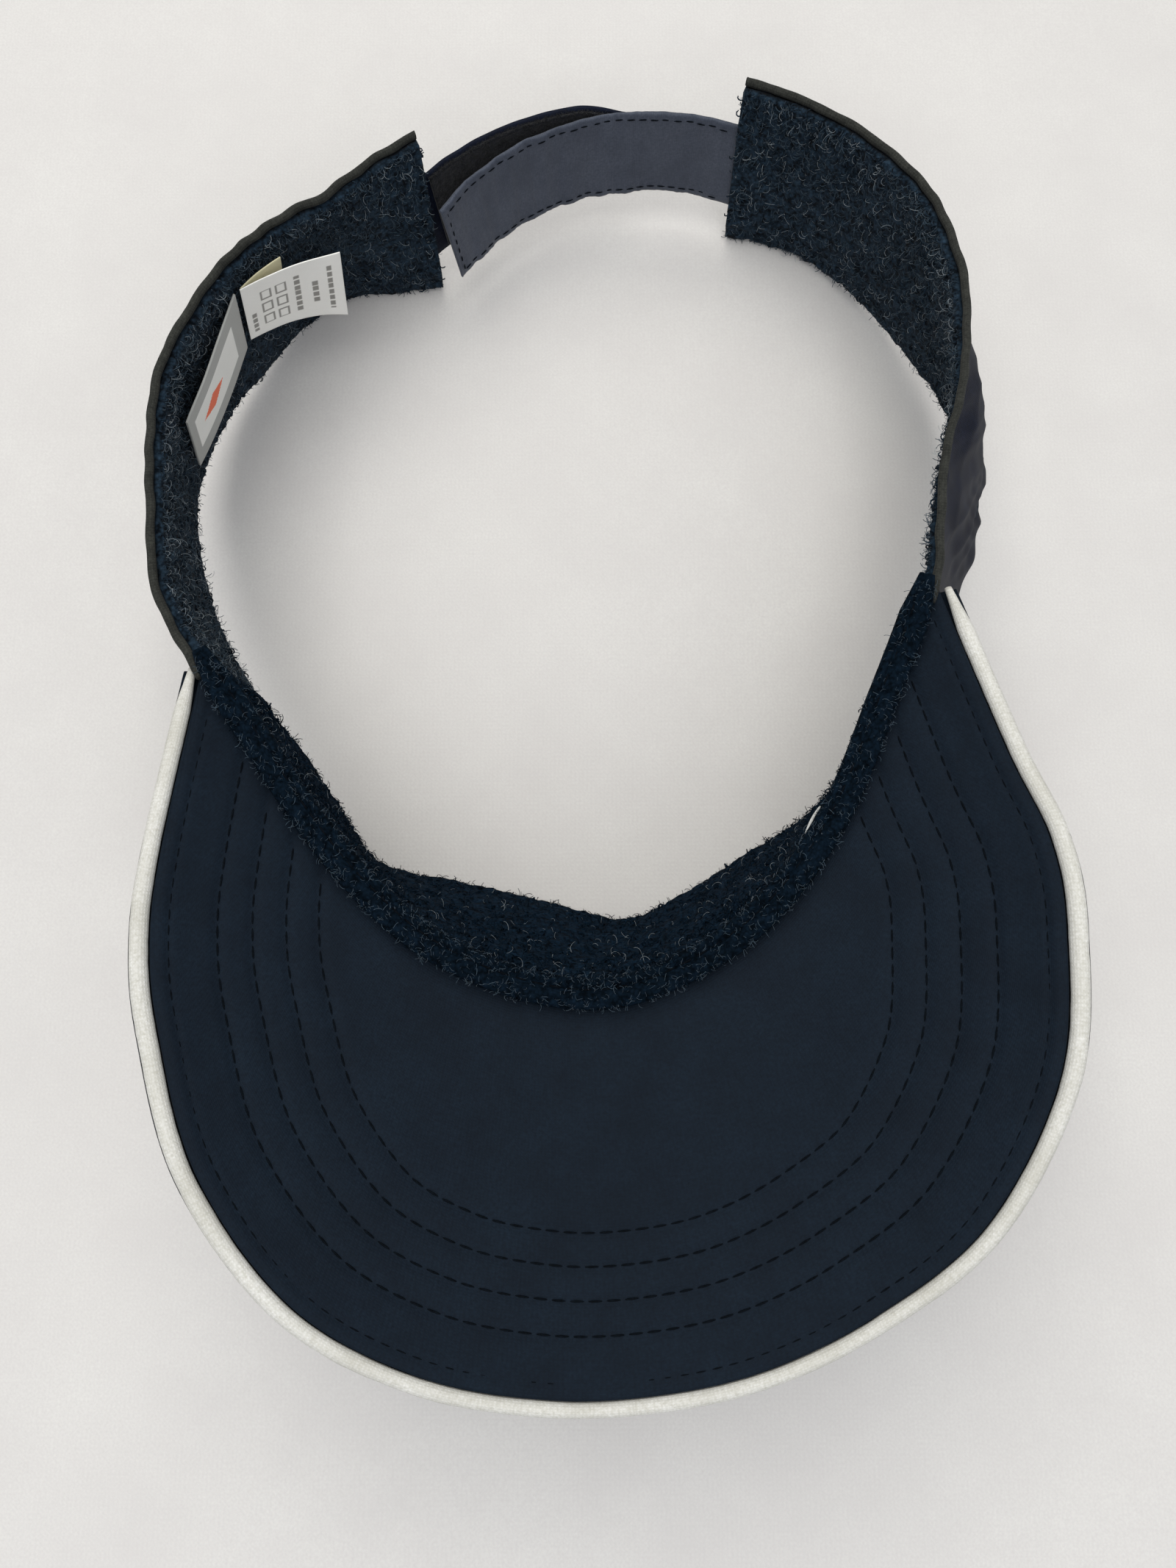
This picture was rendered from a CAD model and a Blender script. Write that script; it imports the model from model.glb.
# %% [markdown]
# # A sun visor, lying upside down
# A sun visor is a stiff brim sewn to a band of cloth that closes behind the head with a hook
# strap and a loop strap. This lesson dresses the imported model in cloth: every layer is a grid
# that one formula lays along the band or the brim, so the looks share the model's own lines.

# %% frame and tools
import math
import random
from functools import lru_cache

import bmesh
import bpy
import numpy as np
from mathutils import Matrix, Vector, noise


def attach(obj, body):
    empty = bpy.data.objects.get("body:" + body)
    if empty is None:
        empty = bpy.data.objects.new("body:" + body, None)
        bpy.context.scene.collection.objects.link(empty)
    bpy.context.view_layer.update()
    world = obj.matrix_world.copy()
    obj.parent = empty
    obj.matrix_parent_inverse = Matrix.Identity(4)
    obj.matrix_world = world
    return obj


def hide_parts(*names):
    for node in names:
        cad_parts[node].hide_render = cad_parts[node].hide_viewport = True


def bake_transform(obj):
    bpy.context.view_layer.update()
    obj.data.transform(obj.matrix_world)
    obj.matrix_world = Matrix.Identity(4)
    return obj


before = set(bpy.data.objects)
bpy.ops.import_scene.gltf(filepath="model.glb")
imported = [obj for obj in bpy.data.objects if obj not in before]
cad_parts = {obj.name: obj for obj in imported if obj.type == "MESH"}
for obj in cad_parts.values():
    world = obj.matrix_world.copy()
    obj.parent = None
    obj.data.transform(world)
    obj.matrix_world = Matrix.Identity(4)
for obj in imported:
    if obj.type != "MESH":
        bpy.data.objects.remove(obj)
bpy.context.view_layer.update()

MM = 0.001

# %% [markdown]
# ## Camera
# The object is seen from a hand's height above the table, tipped 12 degrees towards the brim.
# The lens is a phone's wide one, so the upper edges of the band spread outwards.

# %% camera
EYE = Vector((2.0, -100.0, 251.6)) * MM
camera = bpy.data.objects.new("camera", bpy.data.cameras.new("camera"))
camera.location = EYE
camera.rotation_euler = (math.radians(12), 0, 0)
camera.data.sensor_fit = "VERTICAL"
camera.data.sensor_height = 36
camera.data.lens = 27.04
camera.data.clip_start = 0.01
bpy.context.scene.collection.objects.link(camera)
bpy.context.scene.camera = camera

# %% [markdown]
# ## The lines that everything follows
# The band is a ring of stations, from the left end round the front to the right end. Each has
# a point on the upper edge, one on the lower edge, and the room that a strap takes between the
# cloths. The brim is a sheet bent round a cylinder, with a plan of its own. Both repeat the
# solid model's numbers, in millimetres, and a smooth curve runs through them. The brim's edge
# differs by a millimetre or so, because years of wear have bent the two sides unequally.

# %% brim lines
BRIM_AT, BRIM_TURN, BRIM_R = (-1.5, -30.4), math.radians(6.3), 130.0
BRIM_RISE, SEAM_Z = math.tan(math.radians(8.5)), 45.8
SEAM_HALF = [(66.3, 0.7), (57.8, -15.8), (47.8, -34.3), (35.9, -49.2), (20.5, -60.2)]
EDGE_LEFT = [(-64.8, 0.7), (-70.0, -31), (-71.4, -47), (-70.1, -62), (-65.0, -84),
             (-52.8, -104.5), (-36, -117), (-17.5, -123.3)]
EDGE_RIGHT = [(17.5, -123.1), (35.4, -116.4), (53.0, -104.5), (66.6, -84), (71.9, -62),
              (72.8, -47), (70.2, -31), (66.3, 0.7)]
SEAM = [(-x, y) for x, y in SEAM_HALF] + [(0, -66)] + SEAM_HALF[::-1]
EDGE = EDGE_LEFT + [(0, -125)] + EDGE_RIGHT


def curve(values, s):
    """A smooth curve through hand-set vectors, at place s along them."""
    i = min(max(int(s), 0), len(values) - 2)
    t = s - i
    a, b, c, d = (values[min(max(j, 0), len(values) - 1)] for j in (i - 1, i, i + 1, i + 2))
    return (b + (c - a) * (t / 2) + (a * 2 - b * 5 + c * 4 - d) * (t * t / 2)
            + (b * 3 - c * 3 + d - a) * (t * t * t / 2))


def even(points, count=400):
    """The smooth curve through flat points, cut into even steps."""
    vs = [Vector(p) for p in points]
    fine = np.array([curve(vs, (len(vs) - 1) * k / 1600) for k in range(1601)])
    run = np.concatenate([[0], np.cumsum(np.linalg.norm(np.diff(fine, axis=0), axis=1))])
    at = np.linspace(0, run[-1], count + 1)
    return np.stack([np.interp(at, run, fine[:, k]) for k in (0, 1)], axis=1), run[-1]


seam_line, seam_length = even(SEAM)
edge_line, edge_length = even(EDGE)


def along_line(line, u):
    """Place and outward direction at share u of a line that runs left to right."""
    i = min(max(u, 0), 1) * (len(line) - 1)
    k = min(int(i), len(line) - 2)
    p = line[k] + (line[k + 1] - line[k]) * (i - k)
    lo, hi = line[max(k - 3, 0)], line[min(k + 4, len(line) - 1)]
    t = (hi - lo) / np.linalg.norm(hi - lo)
    return p, np.array((t[1], -t[0]))


def brim_point(x, y, depth=0.0):
    """A point of the brim, at a depth under its upper face."""
    bow = math.sqrt(BRIM_R**2 - x * x)
    z = SEAM_Z + BRIM_R - bow + BRIM_RISE * (-66 - y)
    normal = Vector((-x / bow, BRIM_RISE, 1)).normalized()
    p = Vector((x, y, z)) - normal * depth
    c, s = math.cos(BRIM_TURN), math.sin(BRIM_TURN)
    return Vector((BRIM_AT[0] + p.x * c - p.y * s, BRIM_AT[1] + p.x * s + p.y * c, p.z))


def far_from(line, x, y):
    """Distance from a flat point to a line."""
    return float(np.sqrt(((line - (x, y)) ** 2).sum(1).min()))


print("seam", round(seam_length), "mm, edge", round(edge_length), "mm")

# %% band lines
def bp(x, y):
    """A corner of the ring that lies on the brim's seam."""
    return tuple(brim_point(x, y))


# each row: upper point, lower point, room for a strap between the cloths
RING = [
    ((-34.2, 83.6, 39.3), (-33.6, 77.0, 0.3), 1.75), ((-43.6, 75.8, 40.7), (-44.8, 75.8, 0.4), 1.4),
    ((-51.0, 67.4, 42.6), (-55.5, 74.6, 0.8), 0.3), ((-60.2, 59.2, 45.2), (-67.2, 65.0, 1.8), 0),
    ((-68.5, 48.1, 48.4), (-76.4, 50.0, 4.4), 0), ((-74.0, 35.8, 51.0), (-81.6, 39.0, 7.5), 0),
    ((-78.0, 20.8, 54.0), (-85.0, 23.2, 12.0), 0), ((-78.3, 6.0, 55.0), (-84.4, 8.6, 17.0), 0),
    ((-77.1, -8.0, 55.0), (-81.3, -5.4, 19.0), 0), ((-75.0, -23.0, 54.8), (-76.6, -19.0, 18.0), 0),
    (bp(-66.3, 0.7), (-68.9, -33.2, 14.0), 0), (bp(-57.8, -15.8), (-61.5, -43.5, 8.5), 0),
    (bp(-50.2, -30.0), (-53.5, -55.0, 3.5), 0), (bp(-42.3, -41.8), (-44.5, -67.0, 0), 0),
    (bp(-31.5, -53.4), (-26.0, -71.5, 0), 0), (bp(-16.5, -62.2), (-7.5, -75.6, 0), 0),
    (bp(0.0, -66.0), (9.5, -79.4, 0), 0), (bp(16.5, -62.2), (23.5, -73.9, 0), 0),
    (bp(31.5, -53.4), (38.5, -64.6, 0), 0), (bp(45.0, -38.5), (52.5, -55.5, 0.5), 0),
    (bp(56.0, -19.3), (65.0, -40.5, 4.0), 0), (bp(66.3, 0.7), (77.5, -16.5, 13.0), 0),
    ((66.0, -9.5, 54.8), (83.0, -3.5, 16.0), 0), ((68.0, 4.0, 54.5), (86.3, 9.0, 17.0), 0),
    ((72.2, 17.5, 53.0), (87.0, 22.0, 15.5), 0), ((75.0, 34.0, 50.0), (84.5, 36.5, 11.5), 0),
    ((75.2, 48.1, 47.6), (79.8, 50.5, 7.4), 0), ((70.5, 66.0, 45.0), (69.0, 69.5, 3.5), 0),
    ((59.4, 81.6, 42.0), (59.3, 81.0, 1.4), 0.3), ((46.5, 91.8, 39.9), (48.8, 87.8, 0.5), 1.4),
    ((35.7, 97.4, 38.5), (36.0, 90.9, 0.3), 1.75),
]
LEFT_END, LEFT_CORNER, RIGHT_CORNER, RIGHT_END = 0, 10, 21, 30
uppers = [Vector(u) for u, _, _ in RING]
lowers = [Vector(l) for _, l, _ in RING]
rooms = [Vector((r, 0)) for _, _, r in RING]


def heading(points, s):
    """Which way the ring runs at a place on it."""
    ahead = curve(points, min(s + 0.1, RIGHT_END)) - curve(points, max(s - 0.1, 0))
    return ahead.normalized()


@lru_cache(maxsize=None)
def section(s):
    """Corner point, way down the wall, way inwards, way along, height, and room."""
    u, l = curve(uppers, s), curve(lowers, s)
    down = (l - u).normalized()
    ahead = heading(uppers, s) + heading(lowers, s)
    ahead = (ahead - down * ahead.dot(down)).normalized()
    return u, down, ahead.cross(down).normalized(), ahead, (l - u).length, curve(rooms, s).x


@lru_cache(maxsize=None)
def ring_run(first, last):
    """Even steps along the middle of the band: places and their distances in mm."""
    at = np.linspace(first, last, 301)
    mid = np.array([(curve(uppers, s) + curve(lowers, s)) / 2 for s in at])
    run = np.concatenate([[0], np.cumsum(np.linalg.norm(np.diff(mid, axis=0), axis=1))])
    return at, run


def place_at(first, last, u):
    """The place on the ring at share u of a stretch of it."""
    at, run = ring_run(first, last)
    return round(float(np.interp(u * run[-1], run, at)), 6)


def band_point(s, below, depth, pocket=0.0):
    """A point of the band: so far below its upper edge and behind its outer face."""
    corner, down, inwards, _, _, room = section(s)
    return corner + down * below + inwards * (depth + room * pocket)


print("band", round(ring_run(LEFT_END, RIGHT_END)[1][-1]), "mm from end to end")

# %% [markdown]
# ## Helpers for meshes
# Cloth is a flat grid, given its thickness with one extrusion and then laid in place point by
# point. A round bead is the same grid rolled into a tube. Small things that come in hundreds,
# such as stitches and fibres, are made once and copied into one mesh.

# %% mesh helpers
def written(name, bm):
    """Writes a bmesh out as a mesh."""
    mesh = bpy.data.meshes.new(name)
    bm.to_mesh(mesh)
    bm.free()
    return mesh


def shown(name, mesh, material):
    """Turns a mesh into a smooth object with a material."""
    mesh.polygons.foreach_set("use_smooth", [True] * len(mesh.polygons))
    mesh.materials.append(material)
    piece = bpy.data.objects.new(name, mesh)
    bpy.context.scene.collection.objects.link(piece)
    print(name, len(mesh.polygons), "faces")
    return piece


def laid_grid(name, across, up, place, material, size=(100, 30), thick=True, tube=False,
              marks=None):
    """A grid laid by place(u, v, side), with a UV map in metres of the flat cloth."""
    bm = bmesh.new()
    bmesh.ops.create_grid(bm, x_segments=across, y_segments=up, size=0.5, calc_uvs=False)
    if thick:
        made = bmesh.ops.extrude_face_region(bm, geom=bm.faces[:])
        back = [v for v in made["geom"] if isinstance(v, bmesh.types.BMVert)]
        bmesh.ops.translate(bm, verts=back, vec=(0, 0, 1))
    flat = bm.loops.layers.uv.new("flat")
    for face in bm.faces:
        for loop in face.loops:
            u, v = loop.vert.co.x + 0.5, loop.vert.co.y + 0.5
            loop[flat].uv = (u * size[0] * MM, v * size[1] * MM)
    ink = bm.verts.layers.float_color.new("ink") if marks else None
    for v in bm.verts:
        at = (v.co.x + 0.5, v.co.y + 0.5, v.co.z)
        if marks:
            v[ink] = marks(*at)
        v.co = place(*at) * MM
    if tube:
        bmesh.ops.remove_doubles(bm, verts=bm.verts[:], dist=1e-6)
        bmesh.ops.holes_fill(bm, edges=[e for e in bm.edges if e.is_boundary], sides=0)
    bmesh.ops.recalc_face_normals(bm, faces=bm.faces[:])
    return shown(name, written(name, bm), material)


def copies(name, part, places, material):
    """One mesh of many copies of a small part, each put in place by a matrix in mm."""
    n = len(part.vertices)
    co = np.empty(n * 3)
    part.vertices.foreach_get("co", co)
    m = np.array([[list(row) for row in p] for p in places])
    at = np.einsum("kij,nj->kni", m[:, :3, :3], co.reshape(-1, 3)) + m[:, None, :3, 3]
    faces = [tuple(p.vertices) for p in part.polygons]
    mesh = bpy.data.meshes.new(name)
    mesh.from_pydata(
        (at.reshape(-1, 3) * MM).tolist(), [],
        [[i + k * n for i in f] for k in range(len(places)) for f in faces])
    return shown(name, mesh, material)


def stand(at, forward, up, scale=1.0):
    """A matrix with X along forward and Z as near to up as it can be."""
    x = forward.normalized()
    y = up.cross(x).normalized()
    z = x.cross(y)
    s = scale if isinstance(scale, tuple) else (scale, scale, scale)
    turned = Matrix((x * s[0], y * s[1], z * s[2])).transposed().to_4x4()
    return Matrix.Translation(at) @ turned


def round_noise(d, turn, spread=1.0):
    """Smooth noise along a tube that meets itself after a full turn."""
    return noise.noise(Vector((d, spread * math.cos(turn), spread * math.sin(turn))))


def fractal(p, scale, seed=0.0):
    """Smooth noise between about -1 and 1, with features scale mm wide."""
    return noise.fractal(p / scale + Vector((seed, seed * 1.7, seed * 0.6)), 0.6, 2.0, 3)


# %% small parts: a stitch and three fibres
def stitch_part():
    """A stitch, 1 mm long, that dips into the cloth at both ends."""
    bm = bmesh.new()
    bmesh.ops.create_uvsphere(bm, u_segments=6, v_segments=5, radius=0.5)
    bmesh.ops.rotate(bm, verts=bm.verts[:], cent=(0, 0, 0),
                     matrix=Matrix.Rotation(math.pi / 2, 3, "Y"))
    return written("stitch_part", bm)


def fibre_part(name, radius, thick, turn, steps):
    """A bent fibre that starts upright at the origin: a three-sided section, spun."""
    bm = bmesh.new()
    ring = bmesh.ops.create_circle(bm, segments=3, radius=thick, cap_ends=False)["verts"]
    bmesh.ops.spin(bm, geom=ring + bm.edges[:], cent=(radius, 0, 0), axis=(0, 1, 0),
                   angle=math.radians(turn), steps=steps, use_merge=False)
    bmesh.ops.recalc_face_normals(bm, faces=bm.faces[:])
    return written(name, bm)


STITCH = stitch_part()
LOOP = fibre_part("loop_part", 0.42, 0.12, 200, 4)
HAIR = fibre_part("hair_part", 0.85, 0.045, 100, 4)
LINT = fibre_part("lint_part", 1.3, 0.04, 130, 6)
print("parts", [len(p.polygons) for p in (STITCH, LOOP, HAIR, LINT)])

# %% [markdown]
# ## Finishes
# Each finish starts from the real cloth and how it was made. One function turns sRGB hex into
# linear colour and one adds a node with its settings and links.

# %% material helpers
WAVE_BAND = 0.314  # metres from one band of a wave texture to the next, at a scale of 1


def colour(code, alpha=1.0):
    """sRGB hex to linear RGBA."""
    parts = [int(code[i:i + 2], 16) / 255 for i in (0, 2, 4)]
    return tuple(c / 12.92 if c <= 0.04045 else ((c + 0.055) / 1.055) ** 2.4
                 for c in parts) + (alpha,)


def blank(name):
    """A new material and its empty node tree."""
    made = bpy.data.materials.new(name)
    made.use_nodes = True
    made.node_tree.nodes.clear()
    return made, made.node_tree


def add(tree, kind, inputs=None, **settings):
    """Adds a node, sets it, and links or fills its inputs."""
    made = tree.nodes.new(kind)
    for key, value in settings.items():
        setattr(made, key, value)
    for key, value in (inputs or {}).items():
        if isinstance(value, bpy.types.NodeSocket):
            tree.links.new(value, made.inputs[key])
        else:
            made.inputs[key].default_value = value
    return made


def cloth(name, dark, light, thread, rough=0.85, sheen=0.3, weave=0.4, mottle=6.0, lump=0.3,
          coords="UV", fine=2.0, bump_mm=0.12, shine=0.3):
    """A woven or knitted cloth: two crossed thread waves, mottled colour, and soft lumps.
    thread is the spacing that shows, in mm, and mottle the width of its colour patches."""
    made, tree = blank(name)
    where = add(tree, "ShaderNodeTexCoord")
    spot = where.outputs["Object"]
    flat = where.outputs[coords]
    wave = WAVE_BAND / (thread * MM)
    warp = add(tree, "ShaderNodeTexWave", {"Vector": flat, "Scale": wave, "Distortion": 1.5,
               "Detail": 1.0, "Detail Scale": 2.0}, bands_direction="X")
    weft = add(tree, "ShaderNodeTexWave", {"Vector": flat, "Scale": wave, "Distortion": 1.5,
               "Detail": 1.0, "Detail Scale": 2.0}, bands_direction="Y")
    threads = add(tree, "ShaderNodeMath", {0: warp.outputs["Fac"], 1: weft.outputs["Fac"]},
                  operation="MULTIPLY")
    patch = add(tree, "ShaderNodeTexNoise", {"Vector": spot, "Scale": 1 / (mottle * MM),
                "Detail": 4.0, "Roughness": 0.65})
    grain = add(tree, "ShaderNodeTexNoise", {"Vector": spot, "Scale": fine / MM,
                "Detail": 2.0})
    mixed = add(tree, "ShaderNodeMath", {0: patch.outputs["Fac"], 1: grain.outputs["Fac"],
                2: 0.25}, operation="MULTIPLY_ADD")
    shade = add(tree, "ShaderNodeMath", {0: threads.outputs[0], 1: weave * 0.35,
                2: mixed.outputs[0]}, operation="MULTIPLY_ADD")
    ramp = add(tree, "ShaderNodeValToRGB", {"Fac": shade.outputs[0]})
    ramp.color_ramp.elements[0].position = 0.38
    ramp.color_ramp.elements[0].color = colour(dark)
    ramp.color_ramp.elements[1].position = 0.78
    ramp.color_ramp.elements[1].color = colour(light)
    height = add(tree, "ShaderNodeMath", {0: patch.outputs["Fac"], 1: lump,
                 2: threads.outputs[0]}, operation="MULTIPLY_ADD")
    bump = add(tree, "ShaderNodeBump", {"Height": height.outputs[0], "Strength": weave,
               "Distance": bump_mm * MM})
    shader = add(tree, "ShaderNodeBsdfPrincipled", {
        "Base Color": ramp.outputs["Color"], "Roughness": rough, "Normal": bump.outputs[0],
        "Sheen Weight": sheen, "Sheen Roughness": 0.5, "IOR": 1.5,
        "Specular IOR Level": shine})
    add(tree, "ShaderNodeOutputMaterial", {"Surface": shader.outputs[0]})
    return made


def nap(name, dark, light, nub, clump, rough=1.0, sheen=0.15, bump_mm=0.5):
    """Looped or brushed pile: nubs as wide as a loop, gathered into lighter clumps."""
    made, tree = blank(name)
    spot = add(tree, "ShaderNodeTexCoord").outputs["Object"]
    loops = add(tree, "ShaderNodeTexVoronoi", {"Vector": spot, "Scale": 1 / (nub * MM)})
    patch = add(tree, "ShaderNodeTexNoise", {"Vector": spot, "Scale": 1 / (clump * MM),
                "Detail": 5.0, "Roughness": 0.7})
    shade = add(tree, "ShaderNodeMath", {0: loops.outputs["Distance"], 1: -0.35,
                2: patch.outputs["Fac"]}, operation="MULTIPLY_ADD")
    ramp = add(tree, "ShaderNodeValToRGB", {"Fac": shade.outputs[0]})
    ramp.color_ramp.elements[0].position = 0.15
    ramp.color_ramp.elements[0].color = colour(dark)
    ramp.color_ramp.elements[1].position = 0.62
    ramp.color_ramp.elements[1].color = colour(light)
    bump = add(tree, "ShaderNodeBump", {"Height": shade.outputs[0], "Strength": 0.7,
               "Distance": bump_mm * MM})
    shader = add(tree, "ShaderNodeBsdfPrincipled", {
        "Base Color": ramp.outputs["Color"], "Roughness": rough, "Normal": bump.outputs[0],
        "Sheen Weight": sheen, "Sheen Roughness": 0.6, "IOR": 1.5,
        "Specular IOR Level": 0.05})
    add(tree, "ShaderNodeOutputMaterial", {"Surface": shader.outputs[0]})
    return made


# %% finishes
# polyester twill on the brim: close and flat, a soft shine, nearly no lint
brim_twill = cloth("brim_polyester_twill", "09121c", "111d29", 0.45, 0.7, 0.02, 0.25, 9.0,
                   shine=0.1)
# cotton terry: looped pile, so it is matt and broken up into dark and greyer clumps
terry = nap("cotton_terry", "040a11", "2b3d4d", 0.8, 1.8, sheen=0.03)
# the same terry lying flatter in the front, where the head has pressed and darkened it
pressed_terry = nap("pressed_cotton_terry", "030a12", "162a3c", 0.7, 1.6, sheen=0.0,
                    bump_mm=0.35)
# terry rolled over the seam: worn and darkest, because no loops stand up on it
rolled_terry = nap("rolled_cotton_terry", "02070d", "0e1c29", 0.7, 1.6, sheen=0.0, bump_mm=0.35)
# single fibres pulled out of the loops: washed paler than the ground
loose_fibre = cloth("loose_terry_fibre", "26343f", "4c5d6a", 0.5, 1.0, 0.1, 0.1, 3.0, shine=0.1)
# nylon taffeta on the outside of the band: thin, smooth, greyed along its folds
taffeta = cloth("nylon_taffeta", "0a0e1a", "181f31", 0.4, 0.6, 0.0, 0.25, 5.0, shine=0.08)
# the fold of the same cloth along the edge: worn to a warmer grey
fold = cloth("worn_taffeta_fold", "212220", "3b3c38", 0.5, 0.8, 0.03, 0.4, 3.0, shine=0.1)
# nylon strap cloth: plain weave with a faint bloom
strap_cloth = cloth("nylon_strap", "343a47", "4b515e", 0.42, 0.6, 0.08, 0.3, 7.0, shine=0.25)
# brushed loop tape: matt and fuzzy
pile = nap("brushed_loop_tape", "050609", "1c1e25", 0.6, 1.4, bump_mm=0.3)
# woven piping tape: white cotton, greyed and a little yellow where it is handled
tape = cloth("white_piping_tape", "b9b7ae", "dddcd8", 0.5, 0.8, 0.05, 0.35, 14.0)
# spun polyester sewing thread
thread = cloth("black_sewing_thread", "05080c", "0e141b", 0.3, 0.85, 0.0, 0.4, 0.8, shine=0.05)
# lint: dusty grey fibres from other cloth, far paler than what they lie on
lint = cloth("grey_lint", "6c7881", "b4bcc0", 0.5, 0.9, 0.2, 0.1, 3.0)
# cut end of cotton yarn: bright white and matt
white_thread = cloth("white_thread_end", "c9cbc9", "e8e8e6", 0.4, 0.8, 0.2, 0.3, 2.0)
print("finishes", len(bpy.data.materials))

# %% [markdown]
# ## The brim
# The brim is a plastic plate between two cloths. Four rows of black stitches hold them, and
# the cloth sinks at each row and swells between. A grid runs from the seam to the edge, and its
# height takes the rows from their distance to the edge, so the quilting is real geometry.

# %% brim cloths
ROWS = (9.0, 14.0, 19.0, 24.0)  # rows of stitches, in mm from the edge
PIPING_ROW = 2.4  # the row that closes the piping in


def quilting(inside):
    """How far the cloth swells, at a distance inside the edge."""
    swell = 0.16
    for row in ROWS:
        swell -= 0.30 * math.exp(-(((inside - row) / 0.9) ** 2))
    swell -= 0.14 * math.exp(-(((inside - PIPING_ROW) / 0.5) ** 2))
    return swell - 0.45 * math.exp(-((inside / 0.8) ** 2))


def brim_cloth(depth, thickness, grow, outer):
    """A formula for one cloth; outer is the side of it that shows."""
    def place(u, v, side):
        near, out_near = along_line(seam_line, u)
        far, out_far = along_line(edge_line, u)
        x, y = (near - out_near * 1.0) * (1 - v) + (far + out_far * grow) * v
        swell = 0.0
        if side == outer:
            swell = quilting(far_from(edge_line, x, y)) + 0.10 * fractal(Vector((x, y, 0)), 16)
        way = 1 if outer else -1
        return brim_point(x, y, depth + thickness * side + way * swell)
    return place


under = laid_grid("brim_under_cloth", 190, 120, brim_cloth(0.05, 0.62, -0.1, 0), brim_twill,
                  size=(200, 62))
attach(under, "visor")
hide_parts("brim_under_cover")

over = laid_grid("brim_outer_cloth", 190, 120, brim_cloth(2.64, 0.7, 2.1, 1), brim_twill,
                 size=(200, 62))
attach(over, "visor")
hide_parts("brim_top_cover")

# %% [markdown]
# A stitch is an ellipsoid pressed into the cloth. It is made once and set along each row at the
# step of a sewing machine, and a row stops where it meets the band.

# %% brim stitches
def row_places(inset, depth, step=2.9, length=2.3, width=0.34):
    """Matrices for the stitches of one row."""
    line = np.array([along_line(edge_line, k / 400)[0] - along_line(edge_line, k / 400)[1] * inset
                     for k in range(401)])
    run = np.concatenate([[0], np.cumsum(np.linalg.norm(np.diff(line, axis=0), axis=1))])
    for d in np.arange(step, run[-1], step):
        x, y = (float(np.interp(d, run, line[:, k])) for k in (0, 1))
        nearest = int(((seam_line - (x, y)) ** 2).sum(1).argmin())
        share = nearest / (len(seam_line) - 1)
        beyond = float(np.dot((x, y) - seam_line[nearest], along_line(seam_line, share)[1]))
        if beyond < 1.5 or share in (0, 1):
            continue
        x2, y2 = (float(np.interp(d + 0.5, run, line[:, k])) for k in (0, 1))
        at, ahead = brim_point(x, y, depth), brim_point(x2, y2, depth)
        up = at - brim_point(x, y, depth + 1)
        yield stand(at, ahead - at, up, (length, width, 0.36))


rows = [m for inset in ROWS for m in row_places(inset, 0.08)]
stitches = copies("brim_row_stitches", STITCH, rows, thread)
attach(stitches, "visor")
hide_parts("brim_stitch_rows")
rows = [m for inset in ROWS for m in row_places(inset, 3.3)]
below = copies("brim_row_stitches_outside", STITCH, rows, thread)
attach(below, "visor")
edge_rows = copies("brim_edge_stitches", STITCH,
                   list(row_places(PIPING_ROW, 0.1, step=2.6, length=1.9, width=0.32)),
                   thread)
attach(edge_rows, "visor")
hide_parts("brim_edge_stitching")

# %% [markdown]
# ## The piping
# Piping is a cord wrapped in white tape and sewn between the two cloths. It is a tube round
# the edge, pressed a little flat, that thins where it goes into the corner seams.

# %% piping
def piping_place(u, v, side):
    """The tube round the brim's edge."""
    (x, y), out = along_line(edge_line, u)
    turn = 2 * math.pi * v
    ends = min(1.0, 0.45 + 22 * min(u, 1 - u))
    wobble = 1 + 0.05 * noise.noise(Vector((u * 46, 0, 3)))
    wide = (1.22 + 0.05 * round_noise(u * 150, turn)) * ends * wobble
    high = 1.36 * ends * wobble
    away = 1.18 + wide * math.cos(turn)
    p = Vector((x, y)) + Vector(out) * away
    return brim_point(p.x, p.y, 1.3 - high * math.sin(turn))


piping = laid_grid("brim_edge_piping", 420, 18, piping_place, tape, size=(310, 9), thick=False,
                   tube=True)
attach(piping, "visor")
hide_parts("brim_piping")

# %% [markdown]
# ## The band
# The band is an outer cloth, a folded edge and a thick terry lining. Each is a slab between two
# depths behind the outer face. The terry is lumpy, because its loops clump, and its cut edges
# wander.

# %% band cloths
def band_slab(first, last, near, far, top, bottom, pocket=0.0, squeeze=0.0, lumps=0.0,
              edge=0.0, waves=0.0):
    """A formula for one cloth of the band. lumps is the height of its clumps in mm."""
    run = ring_run(first, last)[1][-1]

    def place(u, v, side):
        s = place_at(first, last, u)
        height = section(s)[4]
        soft = edge * fractal(Vector((u * run, v * 60, 7)), 3.5)
        below = top + v * (height - top - bottom) + soft * (1 if v > 0.5 else 0.4)
        depth = near if side == 0 else far
        closed = min(1.0, max(0.0, (v - 0.02) / 0.2)) * min(1.0, max(0.0, (0.99 - v) / 0.15))
        room = (pocket if side == 0 else pocket - squeeze) * closed * closed * (3 - 2 * closed)
        p = Vector((u * run, below, 0))
        if side and lumps:
            depth -= twist_thin(s)
            depth += lumps * (fractal(p, 1.7) + 0.9 * fractal(p, 7, 4.0))
        if waves:
            depth += waves * gather(s, u * run, v) - slack(s, v)
        return band_point(s, below, depth, room)
    return place


def twist_thin(s):
    """How much thinner the terry is pulled where the right side twists, in mm."""
    return 1.2 * math.exp(-(((s - 23.2) / 1.2) ** 2))


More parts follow.
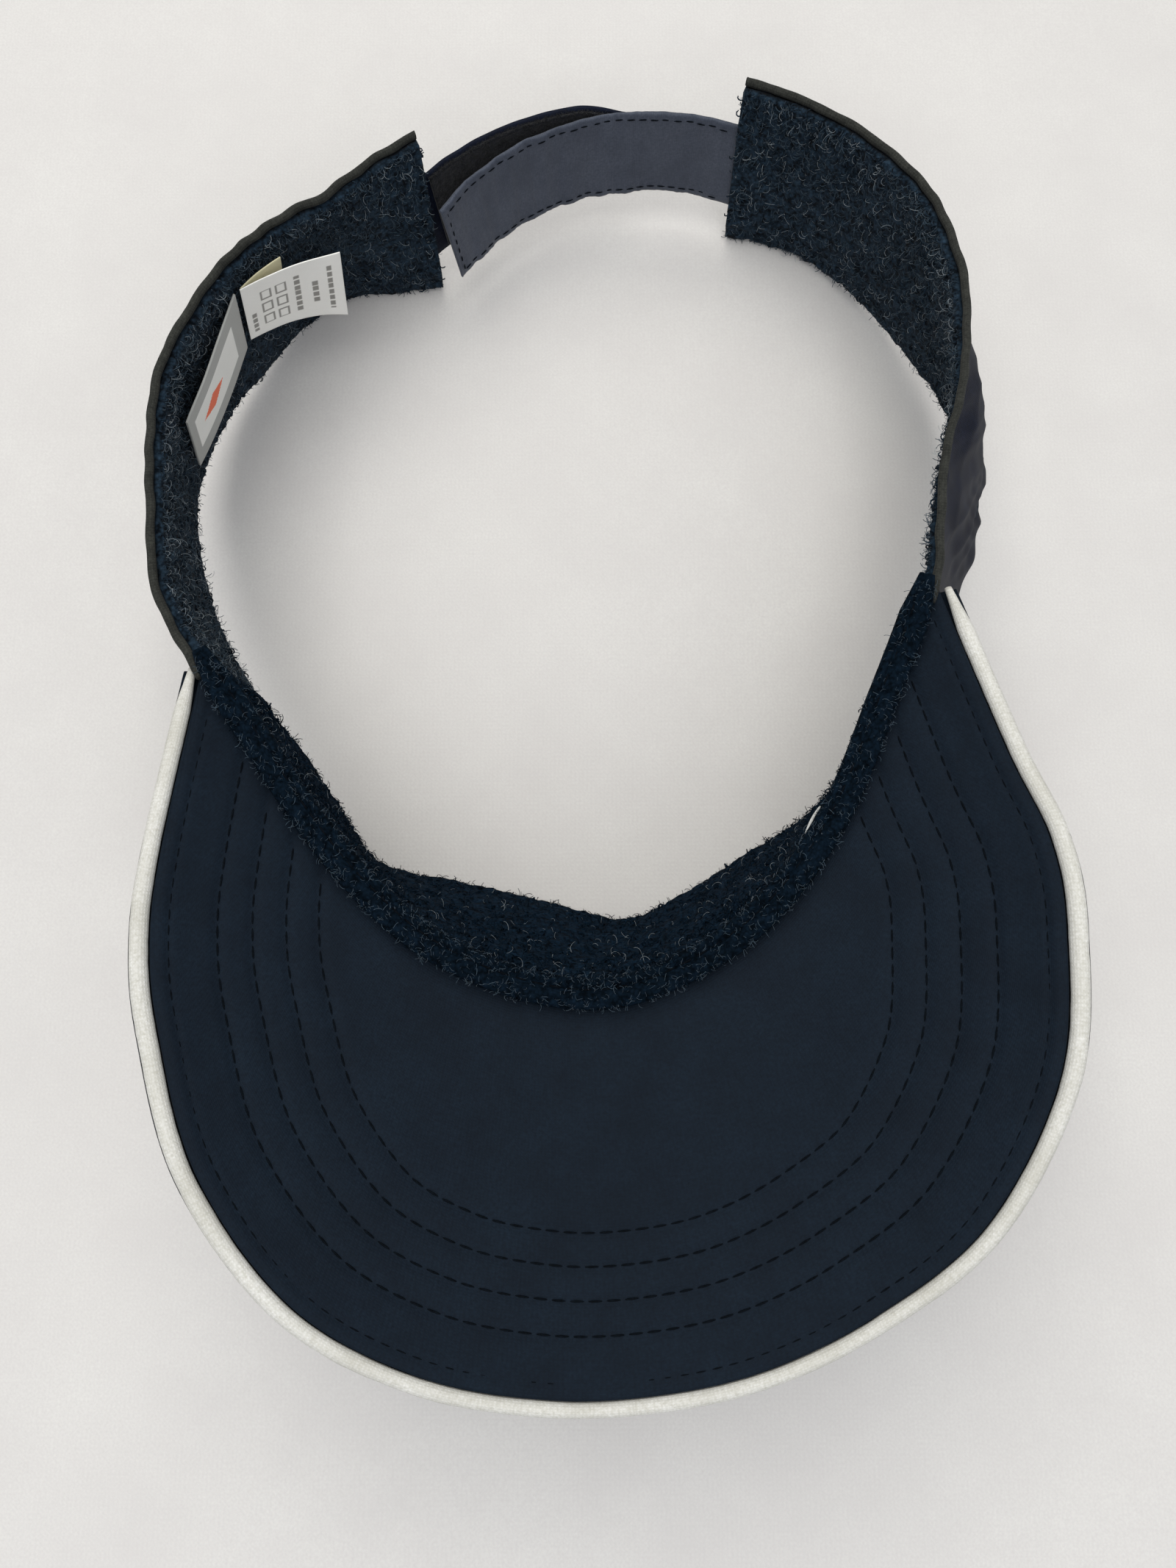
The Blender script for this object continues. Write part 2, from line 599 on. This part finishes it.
def slack(s, v):
    """How far the slack outer cloth stands off the terry beside the right corner, in mm."""
    share = 0.35 + 0.65 * math.sin(math.pi * min(1.0, v * 1.15) ** 0.8)
    return (2.6 * math.exp(-(((s - 24.0) / 1.1) ** 2)) + 1.6 * math.exp(-(((s - 22.3) / 0.5) ** 2))
            ) * share * min(1.0, v * 5)


def gather(s, run, v):
    """Folds where the slack outer cloth is drawn in beside the right corner of the brim."""
    inside = math.exp(-(((s - 23.0) / 1.7) ** 2)) + 0.3 * math.exp(-(((s - 27.0) / 2.5) ** 2))
    slant = run - 34 * v
    crease = abs(noise.noise(Vector((slant / 9.0, v * 1.1, 3)))) * 3.4
    return inside * (crease + noise.noise(Vector(((run + 26 * v) / 8.0, v * 1.6, 8))) * 1.3)


def fold_place(first, last, ripple):
    """The fold of outer cloth that stands along the upper edge."""
    run = ring_run(first, last)[1][-1]

    def place(u, v, side):
        s = place_at(first, last, u)
        turn = 2 * math.pi * v
        d = u * run
        wave = ripple(s) * math.sin(d * 0.72 + 1.4 * math.sin(d * 0.13))
        size = 1 + 0.10 * noise.noise(Vector((d / 3.0, 5, 1)))
        below = -0.55 + wave * 0.5 - 0.85 * size * math.cos(turn)
        depth = 0.62 - wave * 0.8 + 0.82 * size * math.sin(turn)
        return band_point(s, below, depth)
    return place


def left_ripple(s):
    """How far the fold waves on the left side, most near its end, in mm."""
    return 0.15 + 0.42 * math.exp(-(((s - 1.6) / 1.6) ** 2))


def right_ripple(s):
    """The same on the right side."""
    return 0.10 + 0.16 * math.exp(-(((s - 28.0) / 2.0) ** 2))


TERRY_IN, TERRY_OUT = 0.75, 3.15  # the terry's two faces, in mm behind the outer face
SQUEEZE = 0.45  # share of a strap's room that the soft terry gives up
LUMPS = 0.34  # height of the terry's clumps, in mm
bands = {
    "left": dict(first=LEFT_END, last=LEFT_CORNER, ripple=left_ripple,
                 blend=("visor", "left_end", (-0.076, 0.030, 0.03), (-0.062, 0.066, 0.03))),
    "right": dict(first=RIGHT_CORNER, last=RIGHT_END, ripple=right_ripple,
                  blend=("visor", "right_end", (0.079, 0.030, 0.03), (0.073, 0.066, 0.03))),
}


def on_band(piece, side, parts=()):
    """Bends a band piece across its joint and says what it stands for."""
    a, b, start, end = bands[side]["blend"]
    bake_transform(piece)
    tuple(start)
    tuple(end)
    if parts:
        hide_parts(*parts)


for side, band in bands.items():
    first, last = band["first"], band["last"]
    run = float(ring_run(first, last)[1][-1])
    shell = laid_grid(
        f"{side}_band_cloth", 190, 40,
        band_slab(first, last, 0, 0.55, -0.2, 0, edge=0.12, waves=0.55 if side == "right" else 0),
        taffeta, size=(run, 40))
    on_band(shell, side, (f"{side}_side_shell", f"{side}_end_shell"))
    lining = laid_grid(
        f"{side}_band_terry", 260, 64,
        band_slab(first, last, TERRY_IN, TERRY_OUT - 0.45, top=0.5, bottom=0.1, pocket=1,
                  squeeze=SQUEEZE, lumps=LUMPS, edge=0.45),
        terry, size=(run, 40))
    on_band(lining, side, (f"{side}_side_terry", f"{side}_end_terry"))
    lap = (0, 0.15) if side == "left" else (-0.15, 0)  # the fold's end lies under the welt
    edge = laid_grid(f"{side}_band_fold", 320, 12,
                     fold_place(first + lap[0], last + lap[1], band["ripple"]), fold,
                     size=(run, 5), thick=False, tube=True)
    on_band(edge, side, (f"{side}_side_binding", f"{side}_end_binding"))

# %% front panel
front_run = float(ring_run(LEFT_CORNER, RIGHT_CORNER)[1][-1])
panel = laid_grid("front_panel_cloth", 170, 24,
                  band_slab(LEFT_CORNER, RIGHT_CORNER, 0.25, 0.9, 3.4, 0, edge=0.15),
                  taffeta, size=(front_run, 36))
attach(panel, "visor")
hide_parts("front_shell")
sweatband = laid_grid(
    "front_terry", 260, 52,
    band_slab(LEFT_CORNER, RIGHT_CORNER, 1.6, 3.6, 0.0, -0.1, lumps=LUMPS, edge=0.5),
    pressed_terry, size=(front_run, 36))
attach(sweatband, "visor")
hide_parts("front_sweatband")

# %% [markdown]
# ## The welt
# Along the brim seam the terry is rolled over a tape and stitched down, which leaves a main
# roll beside the brim and a thinner ridge inside it. Its section is a flattened round with one
# groove.

# %% welt
def welt_frame(s):
    """Seam point, way inwards, way up and way along, at a place on the ring."""
    ahead = (curve(uppers, s + 0.05) - curve(uppers, s - 0.05)).normalized()
    inner = Vector((-ahead.y, ahead.x, 0)).normalized()
    return curve(uppers, s), inner, ahead.cross(inner), ahead


def welt_place(u, v, side):
    """The roll beside the brim, a groove, and the thinner ridge inside it."""
    s = LEFT_CORNER - 0.08 + (RIGHT_CORNER - LEFT_CORNER + 0.16) * u
    at, inner, lift, _ = welt_frame(s)
    turn = 2 * math.pi * v
    c, r = math.cos(turn), math.sin(turn)
    across = 2.75 * math.copysign(abs(c) ** 0.75, c)
    high = 1.65 * math.copysign(abs(r) ** 0.8, r)
    if r > 0:
        high -= 1.35 * math.exp(-(((across - 0.75) / 0.6) ** 2))
        high *= 1.0 - 0.10 * (across > 0.75)
    d = u * front_run
    lump = (0.20 * round_noise(d / 1.1, turn, 3.0) + 0.20 * round_noise(d / 2.4, turn, 1.5)
            + 0.22 * round_noise(d / 9.0, turn, 0.7))
    ends = min(1.0, 0.5 + 14 * min(u, 1 - u))
    return at + inner * (2.85 + across * ends) + lift * (1.9 + (high + lump) * ends)


welt = laid_grid("seam_welt", 420, 40, welt_place, rolled_terry, size=(160, 15), thick=False,
                 tube=True)
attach(welt, "visor")
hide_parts("sweatband_welt")

GROOVE_STITCHES = 56
groove = []
for k in range(1, GROOVE_STITCHES + 1):
    s = LEFT_CORNER + 0.1 + (RIGHT_CORNER - LEFT_CORNER - 0.2) * k / (GROOVE_STITCHES + 1)
    at, inner, lift, ahead = welt_frame(s)
    groove.append(stand(at + inner * 3.6 + lift * 2.35, ahead, lift, (2.1, 0.4, 0.3)))
sewn_down = copies("welt_stitches", STITCH, groove, thread)
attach(sewn_down, "visor")
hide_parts("welt_stitching")

# %% [markdown]
# ## The pile
# Terry is looped yarn. Fat little loops break up its surface and finer hairs stand out from
# it, thickest along the cut crown edge, where they frayed. Grey lint has caught in it. Each is
# one spun fibre copied many times, with a seed so that every run is alike.

# %% pile helpers
def tilted(rng, normal, most):
    """A direction near normal, tipped by up to most degrees."""
    side = normal.orthogonal().normalized()
    side.rotate(Matrix.Rotation(rng.uniform(0, 2 * math.pi), 3, normal))
    return (normal + side * math.tan(math.radians(rng.uniform(0, most)))).normalized()


def laid_fibre(rng, at, aim, sink, scales):
    """A matrix for one fibre that starts a little way down in the cloth, turned at random."""
    side = aim.orthogonal().normalized()
    side.rotate(Matrix.Rotation(rng.uniform(0, 6.28), 3, aim))
    return stand(at - aim * sink, side, aim, rng.uniform(*scales))


def band_pile(rng, first, last, count, far, top, bottom, squeeze, part_scale, edge_share, tip):
    """Matrices for fibres over the inner face of the terry and its lower edge."""
    for _ in range(count):
        s = place_at(first, last, rng.random())
        corner, down, inwards, ahead, height, room = section(s)
        room *= 1 - squeeze
        if rng.random() < edge_share:
            if first == RIGHT_CORNER and s < first + 3.6:
                continue  # the outer cloth covers the cut edge here
            at = corner + down * (height - bottom) + inwards * (far - rng.uniform(0.6, 2.2))
            normal = (down + inwards * 0.25).normalized()
            lean = 70
        else:
            below = top + rng.random() ** 1.4 * (height - top - bottom)
            v = (below - top) / (height - top - bottom)
            closed = min(1.0, max(0.0, v / 0.2)) * min(1.0, max(0.0, (1 - v) / 0.15))
            depth = far - twist_thin(s) + room * closed * closed * (3 - 2 * closed)
            at = corner + down * below + inwards * depth
            normal, lean = inwards, tip
        aim = tilted(rng, normal, lean)
        bend = ahead.copy()
        bend.rotate(Matrix.Rotation(rng.uniform(0, 2 * math.pi), 3, aim))
        side = (bend - aim * bend.dot(aim)).normalized()
        yield stand(at - aim * 0.2, side, aim, rng.uniform(*part_scale))


def fill_pile(name, part, material, seed, ride_on, **how):
    """One piece of pile, on the front panel or bent across the joint of a side."""
    rng = random.Random(seed)
    piece = copies(name, part, list(band_pile(rng, **how)), material)
    if ride_on == "visor":
        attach(piece, "visor")
    else:
        on_band(piece, ride_on)


# %% pile on the band
for side, band in bands.items():
    reach = dict(first=band["first"], last=band["last"], top=0.3, bottom=0.4, squeeze=SQUEEZE)
    fill_pile(f"{side}_terry_loops", LOOP, terry, 11, side, count=5200, far=TERRY_OUT - 0.55,
              part_scale=(0.7, 1.5), edge_share=0.16, tip=60, **reach)
    fill_pile(f"{side}_terry_hairs", HAIR, loose_fibre, 12, side, count=5200, far=TERRY_OUT - 0.4,
              part_scale=(0.6, 1.6), edge_share=0.24, tip=65, **reach)
    fill_pile(f"{side}_terry_lint", LINT, lint, 13, side, count=850, far=TERRY_OUT,
              part_scale=(0.35, 1.0), edge_share=0.06, tip=85, **reach)
reach = dict(first=LEFT_CORNER + 0.1, last=RIGHT_CORNER - 0.1, top=4.4, bottom=0.3, squeeze=0)
fill_pile("front_terry_loops", LOOP, pressed_terry, 21, "visor", count=5200, far=3.5,
          part_scale=(0.7, 1.5), edge_share=0.2, tip=60, **reach)
fill_pile("front_terry_hairs", HAIR, pressed_terry, 22, "visor", count=5200, far=3.6,
          part_scale=(0.6, 1.7), edge_share=0.34, tip=65, **reach)
fill_pile("front_terry_lint", LINT, lint, 23, "visor", count=420, far=4.0,
          part_scale=(0.3, 0.9), edge_share=0.06, tip=85, **reach)

# %% fibres on the welt
WELT_FIBRES, WELT_HAIRS = 2600, 1900
rng = random.Random(41)
tufts = []
for _ in range(WELT_FIBRES):
    u, v = rng.uniform(0.01, 0.99), rng.uniform(0.03, 0.47)
    at, along, round_it = (welt_place(a, b, 0) for a, b in ((u, v), (u + 0.004, v), (u, v + 0.01)))
    out = (along - at).cross(round_it - at).normalized()
    out = out if out.z > -0.2 else -out
    tufts.append(laid_fibre(rng, at, tilted(rng, out, 70), 0.15, (0.4, 1.1)))
for name, part, material, share in (("welt_hairs", HAIR, loose_fibre, tufts[:WELT_HAIRS]),
                                    ("welt_loops", LOOP, rolled_terry, tufts[WELT_HAIRS:])):
    fibres = copies(name, part, share, material)
    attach(fibres, "visor")

# %% thread end
def thread_end(u, v, side):
    """A short end of white thread that stands in the front terry."""
    turn = 2 * math.pi * v
    r = 0.36 * (1 - 0.4 * u)
    s = round(18.68 + 0.3 * u, 3)
    _, _, inwards, ahead, _, _ = section(s)
    at = band_point(s, 4.6 + 5.0 * u, 4.9 + 0.3 * math.sin(3 * u))
    return at + ahead * (r * math.cos(turn)) + inwards * (r * math.sin(turn))


tuft = laid_grid("white_thread_end", 14, 6, thread_end, white_thread, size=(5, 2), thick=False,
                 tube=True)
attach(tuft, "visor")

# %% [markdown]
# ## The closure
# Both straps are pieces of a cone, because they lean outwards as they rise. The loop strap is
# sewn into the left end and carries brushed tape, and the hook strap is sewn into the right
# end. Fine cross wrinkles show where the strap has been bent round for years.

# %% straps
STRAP_LOW, STRAP_HIGH, LEAN = 10.0, 30.0, 0.17
LOOP_AT, LOOP_R, LOOP_SPAN = Vector((10.0, 38.6, 0)), 59.7, (88.0, 138.34)
HOOK_AT, HOOK_R, HOOK_SPAN = Vector((15.7, 43.1, 0)), 52.89, (70.3, 146.83)
HOOK_ROOT = 66.5  # degrees where the hook strap goes into the right end
STRAP_T = 0.7  # strap cloth, in mm
ARC = 0.86  # share of the loop strap that is an arc, before its sewn tab


def cone_point(centre, radius, degrees, z):
    """A point of a strap that leans outwards as it rises."""
    turn = math.radians(degrees)
    r = radius + LEAN * (z - (STRAP_LOW + STRAP_HIGH) / 2)
    return centre + Vector((r * math.cos(turn), r * math.sin(turn), z))


def loop_point(radius, degrees, z):
    """A point of the loop strap, which droops towards its free end behind the hook strap."""
    t = min(1.0, max(0.0, (100 - degrees) / 12))
    share = (z - STRAP_LOW) / (STRAP_HIGH - STRAP_LOW)
    return cone_point(LOOP_AT, radius, degrees, z - 2.4 * share * t * t * (3 - 2 * t))


def wrinkles(degrees, z):
    """Cross wrinkles of the strap cloth, in mm."""
    a = degrees * 0.95
    bend = noise.noise(Vector((a / 3.2, z / 22, 1))) * 0.55
    return bend + 0.18 * noise.noise(Vector((a / 1.1, z / 14, 5)))


def hook_place(u, v, side):
    """The hook strap, with raised edges and its cross wrinkles."""
    degrees = HOOK_ROOT + (HOOK_SPAN[1] - HOOK_ROOT) * u
    z = STRAP_LOW + (STRAP_HIGH - STRAP_LOW) * v
    edge = 0.18 * math.exp(-((min(v, 1 - v) * (STRAP_HIGH - STRAP_LOW) / 0.9) ** 2))
    ripple = wrinkles(degrees, z) * min(1.0, max(0.0, (degrees - 71) / 8))
    fade = 0.35 if side else 1.0
    p = cone_point(HOOK_AT, HOOK_R - STRAP_T * (1 - side) + fade * (ripple + edge), degrees, z)
    p.z += 0.25 * noise.noise(Vector((degrees / 9, 2, v)))
    return p


hook = laid_grid("hook_strap_cloth", 210, 34, hook_place, strap_cloth, size=(74, 20))
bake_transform(hook)
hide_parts("hook_strap", "hook_strap_root")


def strap_stitches():
    """Stitches along both edges of the strap and across its tip."""
    for z in (STRAP_LOW + 1.3, STRAP_HIGH - 1.3):
        for degrees in np.arange(72.5, HOOK_SPAN[1] - 1.6, 2.75):
            at = cone_point(HOOK_AT, HOOK_R - 0.72 + wrinkles(degrees, z), degrees, z)
            ahead = cone_point(HOOK_AT, HOOK_R - 0.72 + wrinkles(degrees, z), degrees + 1, z)
            yield stand(at, ahead - at, HOOK_AT + Vector((0, 0, z)) - at, (1.9, 0.36, 0.3))
    for z in np.arange(STRAP_LOW + 2.4, STRAP_HIGH - 1.6, 2.5):
        at = cone_point(HOOK_AT, HOOK_R - 0.72, HOOK_SPAN[1] - 1.4, z)
        yield stand(at, Vector((0, 0, 1)), HOOK_AT + Vector((0, 0, z)) - at, (1.8, 0.36, 0.3))


strap_rows = copies("hook_strap_stitches", STITCH, list(strap_stitches()), thread)
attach(strap_rows, "hook_flap")
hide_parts("hook_strap_stitching")


# %% loop strap
def loop_place(u, v, side):
    """The arc, then the tab that goes in between the cloths of the left end."""
    z = STRAP_LOW + (STRAP_HIGH - STRAP_LOW) * v
    if u < ARC:
        degrees = LOOP_SPAN[0] + (LOOP_SPAN[1] + 0.2 - LOOP_SPAN[0]) * u / ARC
        ripple = 0.18 * noise.noise(Vector((degrees / 4, v, 8)))
        return loop_point(LOOP_R - STRAP_T * side + ripple, degrees, z)
    s = (u - ARC) / (1 - ARC)
    _, _, _, _, height, _ = section(s)
    return band_point(s, height - z, 1.15 + STRAP_T * side)


loop = laid_grid("loop_strap_cloth", 150, 16, loop_place, taffeta, size=(70, 20))
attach(loop, "left_end")
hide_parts("loop_strap")


def tape_place(u, v, side):
    """The loop tape, sewn to the inside of the strap just short of its edges."""
    degrees = LOOP_SPAN[0] + 0.8 + (LOOP_SPAN[1] - LOOP_SPAN[0] - 4.3) * u
    z = STRAP_LOW + 0.8 + (STRAP_HIGH - STRAP_LOW - 1.6) * v
    lump = 0.2 * fractal(Vector((degrees, z, 0)), 1.6) * side
    return loop_point(LOOP_R - 0.8 - 0.7 * side + lump, degrees, z)


brushed = laid_grid("brushed_loop_tape", 150, 50, tape_place, pile, size=(48, 18))
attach(brushed, "left_end")
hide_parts("loop_tape")

# %% fuzz on the loop tape and hooks on the hook tape
FUZZ_HAIRS = 4200
rng = random.Random(31)
fuzz = []
for _ in range(FUZZ_HAIRS):
    degrees = rng.uniform(LOOP_SPAN[0] + 0.8, LOOP_SPAN[1] - 3.6)
    on_top = rng.random() < 0.28
    z = STRAP_HIGH - 0.7 if on_top else rng.uniform(STRAP_LOW + 0.8, STRAP_HIGH - 0.8)
    radius = LOOP_R - (rng.uniform(0.7, 1.5) if on_top else 1.5)
    at = loop_point(radius, degrees, z)
    inwards = (LOOP_AT + Vector((0, 0, z)) - at).normalized()
    aim = tilted(rng, Vector((0, 0, 1)) if on_top else inwards, 60)
    fuzz.append(laid_fibre(rng, at, aim, 0.15, (0.35, 0.8)))
brushed_fuzz = copies("loop_tape_fuzz", HAIR, fuzz, pile)
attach(brushed_fuzz, "left_end")

HOOK_ROWS, HOOK_COLUMNS, HOOK_STEP = 11, 26, 1.72  # real hooks are finer; these show
hooks = []
for row in range(HOOK_ROWS):
    for column in range(HOOK_COLUMNS):
        degrees = HOOK_SPAN[0] + 31 + column * HOOK_STEP + HOOK_STEP / 2 * (row % 2)
        if degrees > HOOK_SPAN[1] - 1.8:
            continue
        z = STRAP_LOW + 1.8 + row * 1.62
        at = cone_point(HOOK_AT, HOOK_R + 0.45, degrees, z)
        out = (at - HOOK_AT - Vector((0, 0, z))).normalized()
        hooks.append(stand(at, Vector((0, 0, 1)), out, 0.55))
# moulded nylon hooks: nearly black, with a dull shine of plastic
hook_plastic = cloth("moulded_hook_nylon", "15161b", "24262e", 1.0, 0.45, 0.0, 0.1, 3.0,
                     coords="Object")
hook_field = copies("hook_tape_hooks", LOOP, hooks, hook_plastic)
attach(hook_field, "hook_flap")

# %% [markdown]
# Bar tacks close the band over each strap: a column of zigzag thread on the outer cloth.

# %% bar tacks
TACK_STITCHES = 19  # a millimetre apart, so that a tack is about as long as the strap is wide


def tack_places(columns, top):
    """Matrices for columns of zigzag stitches, from top mm below the band's upper edge."""
    for s in columns:
        corner, down, inwards, ahead, _, _ = section(s)
        for k in range(TACK_STITCHES):
            at = corner + down * (top + k) - inwards * 0.12
            lean = down + ahead * (0.55 if k % 2 else -0.55)
            yield stand(at, lean, -inwards, (1.3, 0.4, 0.3))


for side, body, columns, top in (("left", "left_end", (0.2, 0.75), 10.3),
                                 ("right", "right_end", (29.75, 29.2), 10.0)):
    tacks = copies(f"{side}_bar_tacks", STITCH, list(tack_places(columns, top)), thread)
    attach(tacks, body)
    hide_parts(f"{side}_strap_tacks")

# %% [markdown]
# ## The labels
# Three labels share one sewn edge on the left side. The satin care label has a second leaf
# behind it, and the grey one is woven. Their print is a plain pattern of bars and boxes, and
# the woven mark is a plain orange diamond. The pattern is a colour on the mesh's points, so
# it bends with the cloth.

# %% label finishes
def printed(name, rough, sheen, thread_mm):
    """Label cloth that takes its colour from the ink on the mesh."""
    made, tree = blank(name)
    where = add(tree, "ShaderNodeTexCoord")
    ink = add(tree, "ShaderNodeAttribute", attribute_name="ink")
    wave = WAVE_BAND / (thread_mm * MM)
    ribs = add(tree, "ShaderNodeTexWave", {"Vector": where.outputs["UV"], "Scale": wave,
               "Distortion": 0.6}, bands_direction="X")
    stain = add(tree, "ShaderNodeTexNoise", {"Vector": where.outputs["Object"], "Scale": 140.0,
                "Detail": 3.0})
    aged = add(tree, "ShaderNodeMix", {"Factor": stain.outputs["Fac"], 6: ink.outputs["Color"],
               7: colour("b9b6a6")}, data_type="RGBA", blend_type="MULTIPLY")
    soft = add(tree, "ShaderNodeMix", {"Factor": 0.15, 6: ink.outputs["Color"],
               7: aged.outputs[2]}, data_type="RGBA")
    bump = add(tree, "ShaderNodeBump", {"Height": ribs.outputs["Fac"], "Strength": 0.25,
               "Distance": 0.05 * MM})
    shader = add(tree, "ShaderNodeBsdfPrincipled", {
        "Base Color": soft.outputs[2], "Roughness": rough, "Normal": bump.outputs[0],
        "Sheen Weight": sheen, "IOR": 1.5, "Specular IOR Level": 0.4})
    add(tree, "ShaderNodeOutputMaterial", {"Surface": shader.outputs[0]})
    return made


# satin: floats of bright yarn give a smooth, slightly shiny white
satin = printed("white_satin_label", 0.45, 0.1, 0.3)
# damask weave: matt, with ribs along the label
damask = printed("woven_damask_label", 0.8, 0.2, 0.5)

FOOT, HEAD = Vector((-70.5, 45.1, 25.2)), Vector((-67.4, 43.8, 44.0))  # of the sewn edge
SEWN = (HEAD - FOOT).normalized()
CARE, BEHIND, WOVEN = (21.5, 19.5), (10.5, 19.0), (28.5, 21.0)  # flat lengths and heights, mm


def leaf_place(towards, length, height, thick, start, foot, bow, curl=0.0):
    """A label that runs off from the sewn edge, bowed away from the terry."""
    away = (towards - SEWN * towards.dot(SEWN)).normalized()
    face = away.cross(SEWN)

    def place(u, v, side):
        lift = bow * math.sin(math.pi * u * 0.9) + curl * (u ** 3) * (v - 0.5)
        lift += 0.15 * noise.noise(Vector((u * 3, v * 2, length)))
        return (FOOT + away * (start + u * length) + SEWN * (foot + v * height)
                + face * (thick * side + lift))
    return place


WHITE, GREY_INK = colour("f4f3ef"), colour("8a8883")


def care_marks(u, v, side):
    """Generic rows of print: six boxes and four bars, in grey on both faces."""
    x, y = u * CARE[0], v * CARE[1]
    for cx in (5.0, 8.4):
        for cy in (4.8, 9.4, 14.0):
            wide, high = abs(x - cx), abs(y - cy)
            if (wide < 1.25 and high < 1.6) and not (wide < 0.85 and high < 1.2):
                return GREY_INK
    for cx, low, top in ((1.8, 2.0, 9.5), (11.9, 3.0, 16.0), (15.6, 5.5, 13.0), (18.8, 2.6, 16.4)):
        if abs(x - cx) < 0.55 and low < y < top and math.sin(y * 3.3) > -0.75:
            return GREY_INK
    return WHITE


def plain_marks(u, v, side):
    """The leaf behind is bare and yellowed."""
    return colour("cfc9a8")


def woven_marks(u, v, side):
    """A grey border, a white field, and a plain orange diamond."""
    x, y = u * WOVEN[0], v * WOVEN[1]
    if min(x - 4.5, 26.0 - x, y - 4.6, 16.6 - y) < 0:
        return colour("a6a7a4")
    if abs(x - 17.8) / 5.2 + abs(y - 10.6) / 2.3 < 1:
        return colour("f2601c")
    return colour("f2f2ee")


labels = (
    ("care_label_leaf", "care_label", "care_flap", care_marks, satin, CARE, 104, 80,
     leaf_place(Vector((20, 8.5, 0)), *CARE, 0.2, 0.5, 0.0, -1.5, -2.5), "label_satin"),
    ("care_label_leaf_behind", "care_label_back", "care_flap", plain_marks, satin, BEHIND,
     40, 40, leaf_place(Vector((11, 11, 0)), *BEHIND, 0.2, 0.8, 0.3, -0.4), "label_satin"),
    ("woven_label_leaf", "woven_label", "woven_flap", woven_marks, damask, WOVEN, 114, 84,
     leaf_place(Vector((-8.05, -28.1, 1.25)), *WOVEN, 0.4, 1.0, -1.5, -0.4, -0.8),
     "label_weave"),
)
for name, node_name, body, marks, finish, flat, across, up, place, slot in labels:
    leaf = laid_grid(name, across, up, place, finish, size=flat, marks=marks)
    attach(leaf, body)
    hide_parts(node_name)

seam_rows = [stand(FOOT + SEWN * (1.5 + 2.4 * k) + Vector((0.2, -0.2, 0)), SEWN,
                   Vector((1, 0.5, 0)), (1.8, 0.4, 0.35)) for k in range(7)]
label_rows = copies("label_stitches", STITCH, seam_rows, thread)
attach(label_rows, "visor")
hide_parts("label_stitching")

# %% [markdown]
# ## What the cloth hides
# The brim plate, the buckram behind the front and the hook tape keep their solid shapes and
# take a finish each.

# %% hidden parts
# moulded polyethylene: smooth dark grey, slightly waxy
board = cloth("moulded_polyethylene_plate", "2c2d30", "3b3c40", 3.0, 0.5, 0.0, 0.1, 12.0,
              coords="Object")
# buckram: coarse cotton stiffened with size, so its open weave shows
buckram = cloth("stiff_buckram", "17181b", "26282c", 1.0, 0.9, 0.1, 0.5, 5.0,
                coords="Object")
hidden = (("brim_board", board), ("front_stiffener", buckram), ("hook_tape", hook_plastic))
for node_name, finish in hidden:
    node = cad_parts[node_name]
    node.data.materials.clear()
    node.data.materials.append(finish)
print("kept solids", len(hidden))

# %% [markdown]
# ## Table and light
# The object lies on a pale cloth with a fine upright weave, under broad soft light from above
# and behind, as from a window. The front of the brim falls into a soft shade.

# %% table
# fine table cloth: pale warm grey, matt
floor_cloth = cloth("table_cloth", "cfccca", "d9d7d4", 0.9, 0.9, 0.05, 0.2, 30.0, 0.4,
                    coords="Object")
bm = bmesh.new()
bmesh.ops.create_grid(bm, x_segments=60, y_segments=60, size=0.9)
for v in bm.verts:
    v.co.z = -0.0004 + 0.0003 * noise.noise(v.co * 14)
table = shown("table", written("table", bm), floor_cloth)

# %% lights
world = bpy.data.worlds.new("soft_room")
world.use_nodes = True
world.node_tree.nodes["Background"].inputs["Color"].default_value = colour("dfe3e8")
world.node_tree.nodes["Background"].inputs["Strength"].default_value = 0.55
bpy.context.scene.world = world


def soft_light(name, at, size, energy, tint):
    """A square lamp, aimed at the object."""
    lamp = bpy.data.lights.new(name, "AREA")
    lamp.shape, lamp.size, lamp.energy = "SQUARE", size, energy
    lamp.color = colour(tint)[:3]
    holder = bpy.data.objects.new(name, lamp)
    holder.location = at
    holder.rotation_euler = (-Vector(at)).to_track_quat("-Z", "Y").to_euler()
    bpy.context.scene.collection.objects.link(holder)


soft_light("window", (-0.12, 0.75, 0.95), 0.8, 5.4, "fdf9f0")
soft_light("ceiling", (-0.1, 0.0, 1.25), 1.0, 8.6, "fbfaf6")
soft_light("room_behind", (0.1, -0.75, 0.8), 0.6, 2.9, "f6f7fb")
bpy.context.scene.view_settings.view_transform = "Standard"
